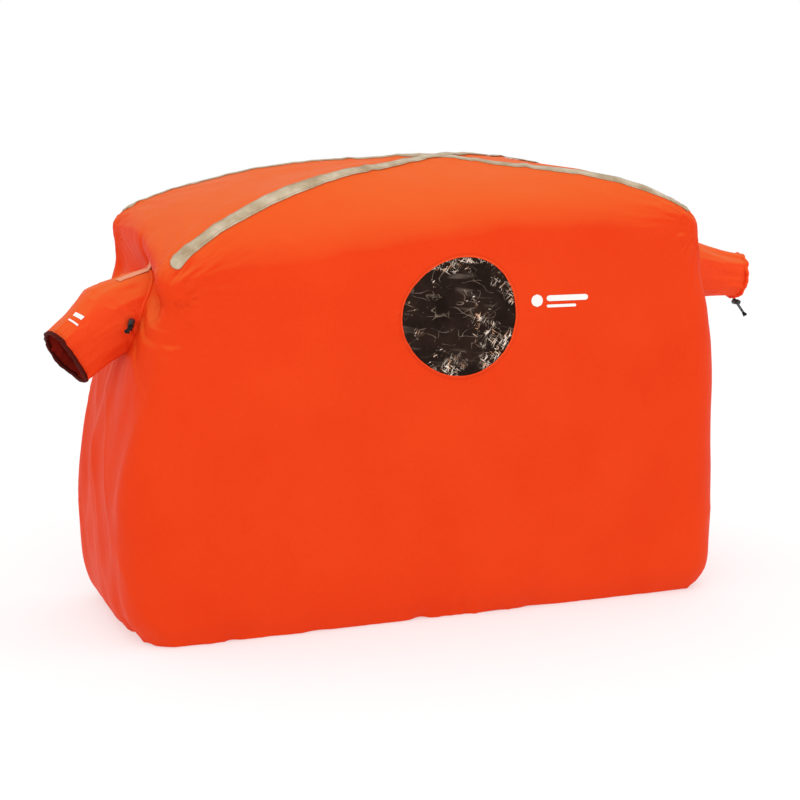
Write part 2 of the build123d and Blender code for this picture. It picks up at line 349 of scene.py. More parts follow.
def window_pull(p):
    """Puckers round the window, and two fold lines that packing pressed into the front."""
    x, z = p[..., 0], p[..., 2]
    front = (p[..., 1] < -120).astype(float)
    right, up = x - WINDOW[0], z - WINDOW[1]
    far = np.hypot(right, up)
    way = np.stack([right / np.maximum(far, 1), up / np.maximum(far, 1), far * 0], -1)
    outside = np.maximum(far - WINDOW[2], 0)
    by_the_edge = np.exp(-outside / 26) * (far > WINDOW[2] - 14)
    d = by_the_edge * (1.5 * noise(way, 0.16, 51) + 0.9 * noise(way, 0.07, 52))
    d += 2.4 * noise(way, 0.42, 53) * np.exp(-outside / 85) * (far > 100)
    upright = np.exp(-np.abs(x - 28 - 0.03 * (z - 400)) / 3.2)
    d += 0.9 * upright * smooth(z, 300, 420) * smooth(z, 505, 470)
    level = np.exp(-np.abs(z - 792 - 6 * noise(p, 180, 54)) / 3.0)
    d += 0.8 * level * smooth(x, -120, 40)
    return front * d


def floor_gathers(p):
    """The gathered bottom edge, in patches all round."""
    x, y, z = p[..., 0], p[..., 1], p[..., 2]
    low = np.exp(-np.maximum(z, 0) / 30)
    around = np.stack([x, y, z * 0.12], -1)
    patch = smooth(noise(around, 190, 61), -0.35, 0.6)
    d = low * (0.35 + patch) * (4.6 * noise(around, 44, 62) + 3.4 * crease(around, 27, 63) - 1.2)
    return d + 5.0 * np.exp(-((z - 70) / 60) ** 2) * noise(around, 120, 64)


def end_folds(p):
    """Long soft folds that run down the two ends."""
    x, y, z = p[..., 0], p[..., 1], p[..., 2]
    end = smooth(np.abs(x + 35), 520, 600) * smooth(z, 800, 640)
    soft = noise(np.stack([x * 0.2, y + 0.25 * z, z * 0.22], -1), (90, 62, 90), 71)
    sharp = crease(np.stack([x * 0.2, y - 0.35 * z, z * 0.3], -1), (80, 70, 90), 72)
    return end * (6.5 * soft + 3.2 * sharp)


def sag(p):
    """How far the cloth stands out from its plain shape."""
    causes = (uneven, roof_pull, corner_pull, vent_pull, left_end_pull, window_pull, floor_gathers, end_folds)
    return sum(cause(p) for cause in causes)


def droop(p):
    """The front left corner of the roof isn't held up, so it hangs lower than the others."""
    x, y, z = p[..., 0], p[..., 1], p[..., 2]
    lowest = 100
    drop = lowest * np.clip((100 - x) / 700, 0, 1) * np.clip((75 - y) / 300, 0, 1.05) ** 1.6
    drop = drop * smooth(z, 530, 800)
    vent = SLEEVES["left"]["base"]
    near_vent = smooth(np.hypot(y - vent[1], z - vent[2]), 84, 150)
    drop = drop * np.where(x < -520, near_vent, 1.0)
    lowered = np.array(p, float)
    lowered[..., 2] = z - drop
    return lowered


def normals(grid, wrap=False):
    if wrap:
        du = np.roll(grid, -1, 1) - np.roll(grid, 1, 1)
    else:
        du = np.gradient(grid, axis=1)
    dv = np.gradient(grid, axis=0)
    return unit(np.cross(du, dv))


def laid(grid, wrap=False, lift=0.0):
    """The cloth's own surface for a grid of points on the plain shape."""
    return droop(grid + normals(grid, wrap) * (sag(grid) + lift)[..., None])


# ---------------------------------------------------------------- meshes
def new_object(name, verts, faces, material, nodes=(), slot=None, way=None):
    """A smooth mesh; way gives its normals, where pieces meet at a seam and have to shade as one."""
    mesh = bpy.data.meshes.new(name)
    mesh.from_pydata([tuple(v) for v in (np.asarray(verts) * MM).tolist()], [], faces)
    mesh.polygons.foreach_set("use_smooth", [True] * len(mesh.polygons))
    if way is not None:
        mesh.normals_split_custom_set_from_vertices(way.reshape(-1, 3).tolist())
    obj = bpy.data.objects.new(name, mesh)
    bpy.context.scene.collection.objects.link(obj)
    obj.data.materials.append(material)
    if nodes:
        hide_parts(*nodes)
    return obj


def grid_faces(rows, cols, wrap=False, keep=None):
    faces = []
    last = cols if wrap else cols - 1
    for r in range(rows - 1):
        for c in range(last):
            if keep is not None and not keep[r, c]:
                continue
            n = (c + 1) % cols
            faces.append((r * cols + c, r * cols + n, (r + 1) * cols + n, (r + 1) * cols + c))
    return faces


def thicken(obj, depth):
    """Gives a sheet its thickness, half to each side."""
    mod = obj.modifiers.new("thickness", "SOLIDIFY")
    mod.thickness = depth * MM
    mod.offset = 0.0
    deps = bpy.context.evaluated_depsgraph_get()
    mesh = bpy.data.meshes.new_from_object(obj.evaluated_get(deps))
    obj.modifiers.clear()
    obj.data = mesh


def tube(name, path, radius, material, closed=False, around=14, **kw):
    """A round tube along a list of points; radius may be a list."""
    path = np.asarray(path, float)
    count = len(path)
    ahead = (np.roll(path, -1, 0) - np.roll(path, 1, 0)) if closed else np.gradient(path, axis=0)
    ahead = unit(ahead)
    radius = np.broadcast_to(radius, (count,))
    hint = np.array([0.0, 0.0, 1.0])
    if abs(ahead[0] @ hint) > 0.9:
        hint = np.array([0.0, 1.0, 0.0])
    side = unit(hint - ahead[0] * (hint @ ahead[0]))
    angles = np.linspace(0, 2 * math.pi, around, endpoint=False)
    rings = []
    for here, along, r in zip(path, ahead, radius):
        side = unit(side - along * (side @ along))
        up = np.cross(along, side)
        rings.append(here + np.cos(angles)[:, None] * side * r + np.sin(angles)[:, None] * up * r)
    verts = np.concatenate(rings)
    faces = grid_faces(count, around, wrap=True)
    if closed:
        base = (count - 1) * around
        shift = int(np.argmin(np.linalg.norm(rings[0] - rings[-1][0], axis=1)))
        for c in range(around):
            n = (c + 1) % around
            faces.append((base + c, base + n, (c + 1 + shift) % around, (c + shift) % around))
    else:
        faces.append(tuple(range(around - 1, -1, -1)))
        faces.append(tuple((count - 1) * around + c for c in range(around)))
    return new_object(name, verts, faces, material, **kw)


# one stitch: a low bar with pointed ends, by its half length, half width and rise
STITCH = [(-1, 0, 0), (-0.62, -1, 0.75), (0.62, -1, 0.75), (1, 0, 0), (0.62, 1, 0.75), (-0.62, 1, 0.75),
          (-0.45, 0, 1.5), (0.45, 0, 1.5)]
STITCH_FACES = [(0, 1, 6), (1, 2, 7, 6), (2, 3, 7), (3, 4, 7), (4, 5, 6, 7), (5, 0, 6)]
STITCH_PITCH, STITCH_LENGTH, STITCH_WIDTH, STITCH_RISE = 4.2, 2.9, 0.75, 0.55


def stitches(name, paths, ups, material, **kw):
    """Rows of short thread stitches lying along paths; ups are outward normals at the points."""
    verts, faces = [], []
    for path, up in zip(paths, ups):
        step = np.linalg.norm(np.diff(path, axis=0), axis=1)
        run = np.concatenate([[0], np.cumsum(step)])
        for s in np.arange(STITCH_PITCH / 2, run[-1], STITCH_PITCH):
            here = np.array([np.interp(s, run, path[:, k]) for k in range(3)])
            after = np.array([np.interp(min(s + 0.5, run[-1]), run, path[:, k]) for k in range(3)])
            n = unit(np.array([np.interp(s, run, up[:, k]) for k in range(3)]))
            t = unit(after - here + 1e-9)
            b = np.cross(n, t)
            first = len(verts)
            for x, y, z in STITCH:
                out = n * z * STITCH_RISE / 1.5
                verts.append(here + t * x * STITCH_LENGTH / 2 + b * y * STITCH_WIDTH / 2 + out)
            faces += [tuple(first + i for i in f) for f in STITCH_FACES]
    return new_object(name, verts, faces, material, **kw)

# ---------------------------------------------------------------- materials
def material(name, colour, rough=0.5, metal=0.0, spec=0.5):
    m = bpy.data.materials.new(name)
    m.use_nodes = True
    shader = m.node_tree.nodes["Principled BSDF"]
    shader.inputs["Roughness"].default_value = rough
    shader.inputs["Metallic"].default_value = metal
    shader.inputs["Specular IOR Level"].default_value = spec
    shader.inputs["Base Color"].default_value = (*colour, 1)
    return m, m.node_tree, shader


def object_coords(tree):
    return tree.nodes.new("ShaderNodeTexCoord").outputs["Object"]


def noise_node(tree, coords, scale, detail=3.0, rough=0.5, distort=0.0):
    n = tree.nodes.new("ShaderNodeTexNoise")
    n.inputs["Scale"].default_value = scale
    n.inputs["Detail"].default_value = detail
    n.inputs["Roughness"].default_value = rough
    n.inputs["Distortion"].default_value = distort
    tree.links.new(coords, n.inputs["Vector"])
    return n.outputs["Fac"]


def ramp(tree, fac, stops):
    r = tree.nodes.new("ShaderNodeValToRGB")
    while len(r.color_ramp.elements) < len(stops):
        r.color_ramp.elements.new(0.5)
    for element, (at, colour) in zip(r.color_ramp.elements, stops):
        element.position = at
        element.color = (*colour, 1)
    tree.links.new(fac, r.inputs["Fac"])
    return r.outputs["Color"]


def maths(tree, operation, a, b=None):
    n = tree.nodes.new("ShaderNodeMath")
    n.operation = operation
    for socket, value in zip(n.inputs, (a, b)):
        if value is None:
            continue
        if isinstance(value, (int, float)):
            socket.default_value = value
        else:
            tree.links.new(value, socket)
    return n.outputs[0]


def times(tree, a, b):
    return maths(tree, "MULTIPLY", a, b)


def minus(tree, a, b):
    return maths(tree, "SUBTRACT", a, b)


def largest(tree, values):
    total = values[0]
    for value in values[1:]:
        total = maths(tree, "MAXIMUM", total, value)
    return total


def bump(tree, shader, height, strength=0.3, distance=0.001, before=None):
    b = tree.nodes.new("ShaderNodeBump")
    b.inputs["Strength"].default_value = strength
    b.inputs["Distance"].default_value = distance
    tree.links.new(height, b.inputs["Height"])
    if before is not None:
        tree.links.new(before, b.inputs["Normal"])
    tree.links.new(b.outputs["Normal"], shader.inputs["Normal"])
    return b.outputs["Normal"]


def weave_height(tree, coords, scale):
    waves = []
    for axis in ("X", "Y", "Z"):
        wave = tree.nodes.new("ShaderNodeTexWave")
        wave.bands_direction = axis
        wave.inputs["Scale"].default_value = scale
        wave.inputs["Distortion"].default_value = 0.4
        wave.inputs["Detail"].default_value = 1.0
        tree.links.new(coords, wave.inputs["Vector"])
        waves.append(wave.outputs["Fac"])
    return largest(tree, waves)


def turned(tree, coords, degrees_about_y, scale):
    """Coordinates turned about the front's normal and stretched, for marks that run one way."""
    mapping = tree.nodes.new("ShaderNodeMapping")
    mapping.vector_type = "TEXTURE"
    mapping.inputs["Rotation"].default_value = (0, math.radians(degrees_about_y), 0)
    mapping.inputs["Scale"].default_value = tuple(1 / s for s in scale)
    tree.links.new(coords, mapping.inputs["Vector"])
    return mapping.outputs["Vector"]


def above(tree, value, low, high):
    """0 below low, 1 above high, and a straight slope between."""
    span = tree.nodes.new("ShaderNodeMapRange")
    span.inputs["From Min"].default_value = low
    span.inputs["From Max"].default_value = high
    tree.links.new(value, span.inputs["Value"])
    return span.outputs["Result"]


def blended(tree, share, under, over):
    mix = tree.nodes.new("ShaderNodeMix")
    mix.data_type = "RGBA"
    tree.links.new(share, mix.inputs[0])
    for socket, value in zip([s for s in mix.inputs if s.type == "RGBA"], (under, over)):
        if isinstance(value, tuple):
            socket.default_value = (*value, 1)
        else:
            tree.links.new(value, socket)
    return [s for s in mix.outputs if s.type == "RGBA"][0]


def shell_fabric(name, colour, darker, seed=0.0, rough=0.5, lit_from_above=False):
    """PU-coated nylon: fine weave, shallow handling creases and a soft uneven sheen."""
    m, tree, shader = material(name, colour, rough=rough, spec=0.04)
    coords = object_coords(tree)
    mapping = tree.nodes.new("ShaderNodeMapping")
    mapping.inputs["Location"].default_value = (seed, seed * 0.7, 0)
    tree.links.new(coords, mapping.inputs["Vector"])
    where = mapping.outputs["Vector"]
    broad = noise_node(tree, where, 5.0, 3.0, 0.55)
    fine = noise_node(tree, where, 160.0, 2.0)
    mixed = maths(tree, "ADD", times(tree, broad, 0.75), times(tree, fine, 0.25))
    tone = ramp(tree, mixed, [(0.30, darker), (0.62, colour)])
    if lit_from_above:
        # painted light: the thin coated cloth is coloured lighter and more orange where it faces up, for the
        # light that falls on it from above
        facing = tree.nodes.new("ShaderNodeSeparateXYZ")
        tree.links.new(tree.nodes.new("ShaderNodeNewGeometry").outputs["Normal"], facing.inputs["Vector"])
        tone = blended(tree, above(tree, facing.outputs["Z"], 0.22, 1.0), tone, PAINTED_TOP_LIGHT)
    tree.links.new(tone, shader.inputs["Base Color"])
    shine = tree.nodes.new("ShaderNodeMapRange")
    shine.inputs["To Min"].default_value = rough - 0.08
    shine.inputs["To Max"].default_value = rough + 0.10
    tree.links.new(noise_node(tree, where, 14.0, 4.0), shine.inputs["Value"])
    tree.links.new(shine.outputs["Result"], shader.inputs["Roughness"])
    weave = weave_height(tree, where, 420.0)
    first = bump(tree, shader, weave, 0.10, 0.0002)
    creases = noise_node(tree, where, 22.0, 6.0, 0.62, 0.6)
    bump(tree, shader, creases, 0.32, 0.005, before=first)
    return m


# the third colour here is painted light, blended onto cloth where it faces up
ORANGE, ORANGE_DARK, PAINTED_TOP_LIGHT = (0.77, 0.050, 0.0075), (0.73, 0.041, 0.0060), (0.78, 0.130, 0.022)
fabric = shell_fabric("shell_fabric", ORANGE, ORANGE_DARK, lit_from_above=True)
sleeve_cloth = shell_fabric("sleeve_fabric", (0.85, 0.070, 0.014), (0.78, 0.052, 0.010), seed=3.0, rough=0.46,
                            lit_from_above=True)
seam_cloth = shell_fabric("seam_binding", (0.82, 0.075, 0.016), (0.72, 0.046, 0.009), seed=5.0, rough=0.5)
# painted shade: the sleeve's turned-in inside is coloured dark red-black for the shade inside it
lining_painted_shade = shell_fabric("sleeve_inside_painted_shade", (0.30, 0.014, 0.007), (0.09, 0.004, 0.0025), seed=17.0,
                            rough=0.6)
# painted shade: nearly black, for the left mouth's edge where the dark opening shows
mouth_painted_shade = shell_fabric("mouth_binding", (0.10, 0.010, 0.006), (0.035, 0.005, 0.004), seed=7.0, rough=0.55)


def plastic(name, colour, rough=0.42):
    m, tree, shader = material(name, colour, rough=rough, spec=0.5)
    coords = object_coords(tree)
    grain = noise_node(tree, coords, 1400.0, 2.0)
    tone = ramp(tree, noise_node(tree, coords, 90.0, 3.0),
                [(0.3, tuple(c * 0.8 for c in colour)), (0.7, tuple(min(c * 1.3, 1) for c in colour))])
    tree.links.new(tone, shader.inputs["Base Color"])
    bump(tree, shader, grain, 0.25, 0.0002)
    return m


def spring_steel():
    """Bright drawn wire."""
    m, tree, shader = material("spring_wire", (0.55, 0.55, 0.57), rough=0.3, metal=1.0)
    tone = ramp(tree, noise_node(tree, object_coords(tree), 800.0, 2.0),
                [(0.3, (0.42, 0.42, 0.44)), (0.7, (0.66, 0.66, 0.68))])
    tree.links.new(tone, shader.inputs["Base Color"])
    return m


def tape_material():
    """Woven reflective tape: grey-beige glass-bead face, lighter and darker in patches."""
    m, tree, shader = material("reflective_tape", (0.50, 0.40, 0.27), rough=0.45, spec=0.3)
    coords = object_coords(tree)
    patches = noise_node(tree, coords, 26.0, 4.0, 0.6)
    tone = ramp(tree, patches,
                [(0.32, (0.36, 0.25, 0.14)), (0.5, (0.46, 0.36, 0.23)), (0.70, (0.60, 0.50, 0.36))])
    tree.links.new(tone, shader.inputs["Base Color"])
    weave = weave_height(tree, coords, 520.0)
    first = bump(tree, shader, weave, 0.3, 0.0003)
    bump(tree, shader, noise_node(tree, coords, 60.0, 3.0), 0.35, 0.002, before=first)
    return m


def film_glints(tree, coords, turn, size, cut):
    """Short painted glints that all run one way; cut is the noise level that they start at."""
    where = turned(tree, coords, turn, size)
    return above(tree, noise_node(tree, where, 1.0, 1.5, 0.5, 0.5), cut, cut + 0.05)


def film_highlight_line(tree, coords, turn, size, width):
    """Long wavering painted highlight lines where the film is pulled, broken here and there."""
    where = turned(tree, coords, turn, size)
    level = maths(tree, "ABSOLUTE", minus(tree, noise_node(tree, where, 1.0, 1.2, 0.5, 0.3), 0.52))
    line = maths(tree, "LESS_THAN", level, width)
    return times(tree, line, above(tree, noise_node(tree, coords, 30.0, 2.0), 0.46, 0.58))


def film_material():
    """Clear film over a dark inside, which is painted onto the film as dark shade. Its creases get painted
    highlights, as thin broken lines and short glints.
    """
    m, tree, shader = material("window_film", (0.02, 0.012, 0.008), rough=0.30, spec=0.05)
    coords = object_coords(tree)
    place = tree.nodes.new("ShaderNodeSeparateXYZ")
    tree.links.new(coords, place.inputs["Vector"])
    # most painted glints gather at the lower right and in a band at the top, and some are spread in patches
    down = minus(tree, WINDOW[1] * MM, place.outputs["Z"])
    low_right = maths(tree, "ADD", times(tree, place.outputs["X"], 3.4), times(tree, down, 4.6))
    top = times(tree, minus(tree, -0.088, down), 30.0)
    clump = times(tree, minus(tree, noise_node(tree, coords, 17.0, 2.0), 0.5), 3.2)
    busy = largest(tree, [minus(tree, low_right, 0.28), top])
    busy = above(tree, maths(tree, "ADD", busy, clump), 0.02, 0.30)
    some = above(tree, noise_node(tree, coords, 23.0, 2.0), 0.60, 0.66)
    glints = []
    for turn, size, cut, share in ((35, (50, 50, 330), 0.61, busy), (-52, (52, 52, 350), 0.61, busy),
                                   (-75, (60, 60, 380), 0.63, busy), (8, (60, 60, 330), 0.65, busy),
                                   (-30, (90, 90, 300), 0.66, some)):
        glints.append(times(tree, film_glints(tree, coords, turn, size, cut), share))
    # painted highlights: thin pale lines along the film's creases
    lines = [film_highlight_line(tree, coords, 8, (12, 12, 30), 0.0065),
             film_highlight_line(tree, coords, -40, (16, 16, 24), 0.005)]
    # painted reflection: soft grey streaks across the film
    reflection_streaks = noise_node(tree, turned(tree, coords, 6, (9, 9, 52)), 1.0, 2.0)
    reflection_streaks = above(tree, reflection_streaks, 0.60, 0.72)

    # painted shade: the film's dark browns stand in for the unlit inside seen through it
    depth = ramp(tree, noise_node(tree, coords, 20.0, 4.0, 0.6),
                 [(0.35, (0.010, 0.0045, 0.0028)), (0.70, (0.026, 0.013, 0.009))])
    # painted highlight colour of the glints, pale peach
    peach = ramp(tree, noise_node(tree, coords, 75.0, 1.0),
                 [(0.40, (0.55, 0.31, 0.19)), (0.54, (0.86, 0.72, 0.60))])
    tone = blended(tree, times(tree, reflection_streaks, 0.75), depth, (0.115, 0.085, 0.068))
    tone = blended(tree, times(tree, largest(tree, lines), 0.8), tone, (0.20, 0.145, 0.11))
    tone = blended(tree, largest(tree, glints), tone, peach)
    tree.links.new(tone, shader.inputs["Base Color"])
    bump(tree, shader, noise_node(tree, coords, 70.0, 4.0, 0.6), 0.35, 0.0015)
    return m


tape_face = tape_material()
film = film_material()
steel = spring_steel()
black_plastic = plastic("lock_plastic", (0.018, 0.018, 0.019))
cord_black = shell_fabric("drawcord", (0.022, 0.021, 0.021), (0.010, 0.010, 0.010), seed=9.0, rough=0.75)
thread = shell_fabric("thread", (0.72, 0.055, 0.012), (0.62, 0.040, 0.010), seed=11.0, rough=0.7)
tape_thread = shell_fabric("tape_thread", (0.33, 0.10, 0.05), (0.24, 0.06, 0.03), seed=12.0, rough=0.7)
webbing = shell_fabric("webbing", (0.80, 0.34, 0.20), (0.70, 0.24, 0.13), seed=13.0, rough=0.7)
print_white = shell_fabric("print_white", (0.88, 0.86, 0.83), (0.80, 0.77, 0.73), seed=14.0, rough=0.55)
seat_cloth = shell_fabric("seat_fabric", (0.050, 0.050, 0.054), (0.030, 0.030, 0.033), seed=15.0, rough=0.7)

# ---------------------------------------------------------------- drawcord tails and knots
LOCKS = {"left_mouth": "left_sleeve", "right_mouth": "right_sleeve", "left_collar": "shelter",
         "right_collar": "shelter", "hem": "shelter"}
CORD_R = 1.35
KNOT_SIZE = 4.4
TAIL_STEPS = 5


def overhand(centre, way, side, name, node):
    """A tight overhand knot tied in two cords."""
    t = np.linspace(0, 2 * math.pi, 72, endpoint=False)
    up = np.cross(way, side)
    across, along = np.sin(t) + 2 * np.sin(2 * t), np.cos(t) - 2 * np.cos(2 * t)
    lobes = across[:, None] * side * 0.85 + along[:, None] * way * 0.85 - np.sin(3 * t)[:, None] * up * 1.15
    return tube(name, centre + lobes * KNOT_SIZE * 0.36, KNOT_SIZE * 0.42, cord_black, closed=True, around=12,
                nodes=(node,), slot="drawcord")


def corners_of(node):
    low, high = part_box(node)
    return np.array(low) / MM, np.array(high) / MM


def tail_lines(node):
    """The middle lines of the two cords of a node, read from the frame."""
    mesh = frame["nodes"][node].data
    corners = np.array([v.co for v in mesh.vertices]) / MM
    # faces don't share their corners in the frame's meshes, so corners at one place are joined
    _, first, place = np.unique(np.round(corners, 3), axis=0, return_index=True, return_inverse=True)
    points = corners[first]
    edges = np.ravel(place)[np.array([e.vertices for e in mesh.edges])]
    label = np.arange(len(points))
    changed = True
    while changed:
        low = np.minimum(label[edges[:, 0]], label[edges[:, 1]])
        before = label.copy()
        np.minimum.at(label, edges[:, 0], low)
        np.minimum.at(label, edges[:, 1], low)
        changed = bool((before != label).any())
    lines = []
    for mark in np.unique(label):
        cloud = points[label == mark]
        middle = cloud.mean(0)
        _, _, axes = np.linalg.svd(cloud - middle, full_matrices=False)
        run = (cloud - middle) @ axes[0]
        # the end caps are rings, so their own middles give the ends
        lines.append([cloud[np.abs(run - value) < 0.2].mean(0) for value in (run.min(), run.max())])
    return lines


def cord_tail(name, start, end):
    """A straight round cord."""
    curve = bpy.data.curves.new(name, "CURVE")
    curve.dimensions = "3D"
    curve.bevel_depth = CORD_R * MM
    curve.bevel_resolution = 3
    curve.resolution_u = 6
    spline = curve.splines.new("NURBS")
    spline.points.add(TAIL_STEPS)
    for i, point in enumerate(spline.points):
        at = (start + (end - start) * i / TAIL_STEPS) * MM
        point.co = (*at, 1)
    spline.order_u = 3
    spline.use_endpoint_u = True
    tail = bpy.data.objects.new(name, curve)
    bpy.context.scene.collection.objects.link(tail)
    curve.materials.append(cord_black)
    return tail


for lock, body in LOCKS.items():
    node, knot_node = f"{lock}_cord_tails", f"{lock}_cord_knot"
    low, high = corners_of(knot_node)
    knot_at = (low + high) / 2
    pair = tail_lines(node)
    # each tail runs from its channel to the knot
    runs = [(b, a) if np.linalg.norm(a - knot_at) < np.linalg.norm(b - knot_at) else (a, b) for a, b in pair]
    way = unit(runs[0][1] - runs[0][0])
    other = pair[1][0] - pair[0][0]
    side = unit(other - way * (other @ way))
    knot = overhand(knot_at, way, side, f"{lock}_knot", knot_node)
    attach(knot, body)
    for index, (start, end) in enumerate(runs):
        tail = cord_tail(f"{lock}_tail_{index + 1}", start, end)
        if index == 0:
            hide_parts(node)
        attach(tail, body)


# ---------------------------------------------------------------- lock springs, copied from CAD
def spring(press):
    """A copy of a lock's CAD spring. Its foot stays in the barrel; it keeps its length when the plunger
    presses its head.
    """
    lock = press["name"].removesuffix("_plunger_press")
    coil = bpy.data.objects.new(f"{lock}_spring_wire", frame["nodes"][f"{lock}_lock_spring"].data.copy())
    bpy.context.scene.collection.objects.link(coil)
    coil.data.materials.clear()
    coil.data.materials.append(steel)
    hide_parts(f"{lock}_lock_spring")
    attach(coil, press["parent"])
    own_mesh(coil)


for joint in frame["joints"]:
    if joint["name"].endswith("_plunger_press"):
        spring(joint)


# ---------------------------------------------------------------- wall and roof panels
PANELS = {"front": "front_panel", "right": "right_end_panel", "back": "back_panel", "left": "left_end_panel"}
# points this near a hole's edge move onto it
SNAP = 2.604 if FINE else 4.96


def hole_cut(grid, centre, radius, plane):
    """Faces to keep round a circular hole; grid points near its edge are moved onto it."""
    rel = grid[..., plane] - centre
    far = np.linalg.norm(rel, axis=-1)
    close = np.abs(far - radius) < SNAP
    inside = ~close & (far < radius - 0.01)
    touching = inside[:-1, :-1] | inside[1:, :-1] | inside[:-1, 1:] | inside[1:, 1:]
    # corners of the removed faces that lie outside the circle become the rim of the hole
    rim = np.zeros_like(inside)
    for down in (0, 1):
        for over in (0, 1):
            rim[down:len(rim) - 1 + down, over:rim.shape[1] - 1 + over] |= touching
    moved = close | (rim & ~inside)
    grid[..., plane] = centre + rel * np.where(moved, radius / np.maximum(far, 1e-6), 1.0)[..., None]
    return ~touching


body = body_grid()
ring_size = body.shape[1]
wall_count = len(wall_rows())
first_column = 0
spans = {}
for side in SIDES:
    width = COUNT[side] + 2 * ARC
    spans[side] = np.arange(first_column, first_column + width + 1) % ring_size
    first_column += width
# each hole's centre, its radius, and the two axes that it lies in
holes = {"front": (WINDOW[:2], WINDOW[2] + WINDOW_EASE, [0, 2])}
for side, data in SLEEVES.items():
    holes[side] = (data["base"][1:], VENT_HOLE_R, [1, 2])
kept = {}
for side, hole in holes.items():
    part = body[:wall_count, spans[side]]
    kept[side] = hole_cut(part, *hole)
    body[:wall_count, spans[side]] = part
body_cloth = laid(body, wrap=True)
body_cloth[..., 2] = np.maximum(body_cloth[..., 2], FLOOR_GAP)
cloth_way = normals(body_cloth, wrap=True)
made = {}
for side in SIDES:
    part = body_cloth[:wall_count, spans[side]]
    faces = grid_faces(*part.shape[:2], keep=kept.get(side))
    made[side] = new_object(f"{side}_fabric", part.reshape(-1, 3), faces, fabric, nodes=(PANELS[side],),
                            slot="shell_fabric", way=cloth_way[:wall_count, spans[side]])
top = body_cloth[wall_count - 1:]
roof_faces = grid_faces(*top.shape[:2], wrap=True)
# one face closes the small hole that the rings leave at the peak
roof_faces.append(tuple((len(top) - 1) * ring_size + column for column in range(ring_size)))
made["roof"] = new_object("roof_fabric", top.reshape(-1, 3), roof_faces, fabric,
                          nodes=("roof_panel",), slot="shell_fabric", way=cloth_way[wall_count - 1:])
for panel in made.values():
    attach(panel, "shelter")


# ---------------------------------------------------------------- points on the finished cloth
def draped(p, n, lift):
    """Points of the plain shape, moved onto the finished cloth and then out by lift, with their normals."""
    return droop(p + n * sag(p)[..., None]) + n * np.broadcast_to(lift, p.shape[:-1])[..., None], n


def outline(column, z):
    """One column of the outline numbers at many heights, and its slope there."""
    here, above_it = (np.array([line_at(v + step)[column] for v in np.ravel(z)]) for step in (0, 2))
    return here.reshape(z.shape), ((above_it - here) / 2).reshape(z.shape)


def on_roof(x, y, lift=0.0):
    """The finished roof over points in plan, and its normals."""
    def plain(px, py):
        return np.stack([px, py, roof_height(px, py)], -1)
    dx = plain(x + 1.5, y) - plain(x - 1.5, y)
    dy = plain(x, y + 1.5) - plain(x, y - 1.5)
    return draped(plain(x, y), unit(np.cross(dx, dy)), lift)


def on_front(x, z, lift=0.0):
    """The finished front over points given by x and height, and its normals."""
    half, slope = outline(2, z)
    n = unit(np.stack([np.zeros(z.shape), -np.ones(z.shape), -slope], -1))
    return draped(np.stack([x, -half, z], -1), n, lift)


def on_end(side, y, z, lift=0.0):
    """The finished end wall over points given by y and height, and its normals."""
    way = SLEEVES[side]["way"]
    x, slope = outline(0 if side == "left" else 1, z)
    n = unit(np.stack([np.full(z.shape, way), np.zeros(z.shape), -way * slope], -1))
    return draped(np.stack([x, y, z], -1), n, lift)


# ---------------------------------------------------------------- reflective tapes
def tape_strip(name, start, end, node, lift):
    start, end = np.array(start, float), np.array(end, float)
    middle = np.array(CROSSING)
    line = []
    for a, b in ((start, middle), (middle, end)):
        count = int(np.linalg.norm(b - a) / (3.0 if FINE else 6.0))
        t = np.linspace(0, 1, count, endpoint=False)[:, None]
        line.append(a + (b - a) * t)
    line = np.concatenate(line + [end[None]])
    # the two halves meet at a slight angle, rounded off
    for _ in range(10):
        line[1:-1] = (line[:-2] + 2 * line[1:-1] + line[2:]) / 4
    ahead = unit(np.gradient(line, axis=0))
    side = np.stack([-ahead[:, 1], ahead[:, 0]], -1)
    run = np.concatenate([[0], np.cumsum(np.linalg.norm(np.diff(line, axis=0), axis=1))])
    wander = noise(np.stack([run, run * 0, run * 0], -1), 70, 81) * 1.6
    # the ends are round
    from_end = np.minimum(run, run[-1] - run)
    half = TAPE_HALF * np.sqrt(np.clip(1 - np.clip(1 - from_end / TAPE_HALF, 0, 1) ** 2, 0.02, 1))
    share = np.linspace(-1, 1, 9)
    sideways = share[None, :, None] * half[:, None, None] + wander[:, None, None]
    grid = line[:, None] + side[:, None] * sideways
    edge_roll = 0.5 * (1 - np.abs(share) ** 4)
    surface, n = on_roof(grid[..., 0], grid[..., 1], lift + edge_roll[None, :])
    tape = new_object(name, surface.reshape(-1, 3), grid_faces(*surface.shape[:2]), tape_face, nodes=(node,),
                      slot="reflective_tape")
    thicken(tape, 0.7)
    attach(tape, "shelter")
    sewn = slice(8, -8)
    ups = [n[sewn, 1], n[sewn, -2]]
    rows = [surface[sewn, 1] + ups[0] * 0.45, surface[sewn, -2] + ups[1] * 0.45]
    seams = stitches(f"{name}_stitching", rows, ups, tape_thread, slot="reflective_tape")
    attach(seams, "shelter")


tape_strip("tape_under", *TAPES["front_right"], "reflective_tape_front_right", 0.9)
tape_strip("tape_over", *TAPES["front_left"], "reflective_tape_front_left", 1.9)


# ---------------------------------------------------------------- window
def disc_grid(rings, spokes, r0, r1):
    r = np.linspace(r0, r1, rings)[:, None]
    a = np.linspace(0, 2 * math.pi, spokes, endpoint=False)[None]
    return WINDOW[0] + r * np.cos(a), WINDOW[1] + r * np.sin(a)


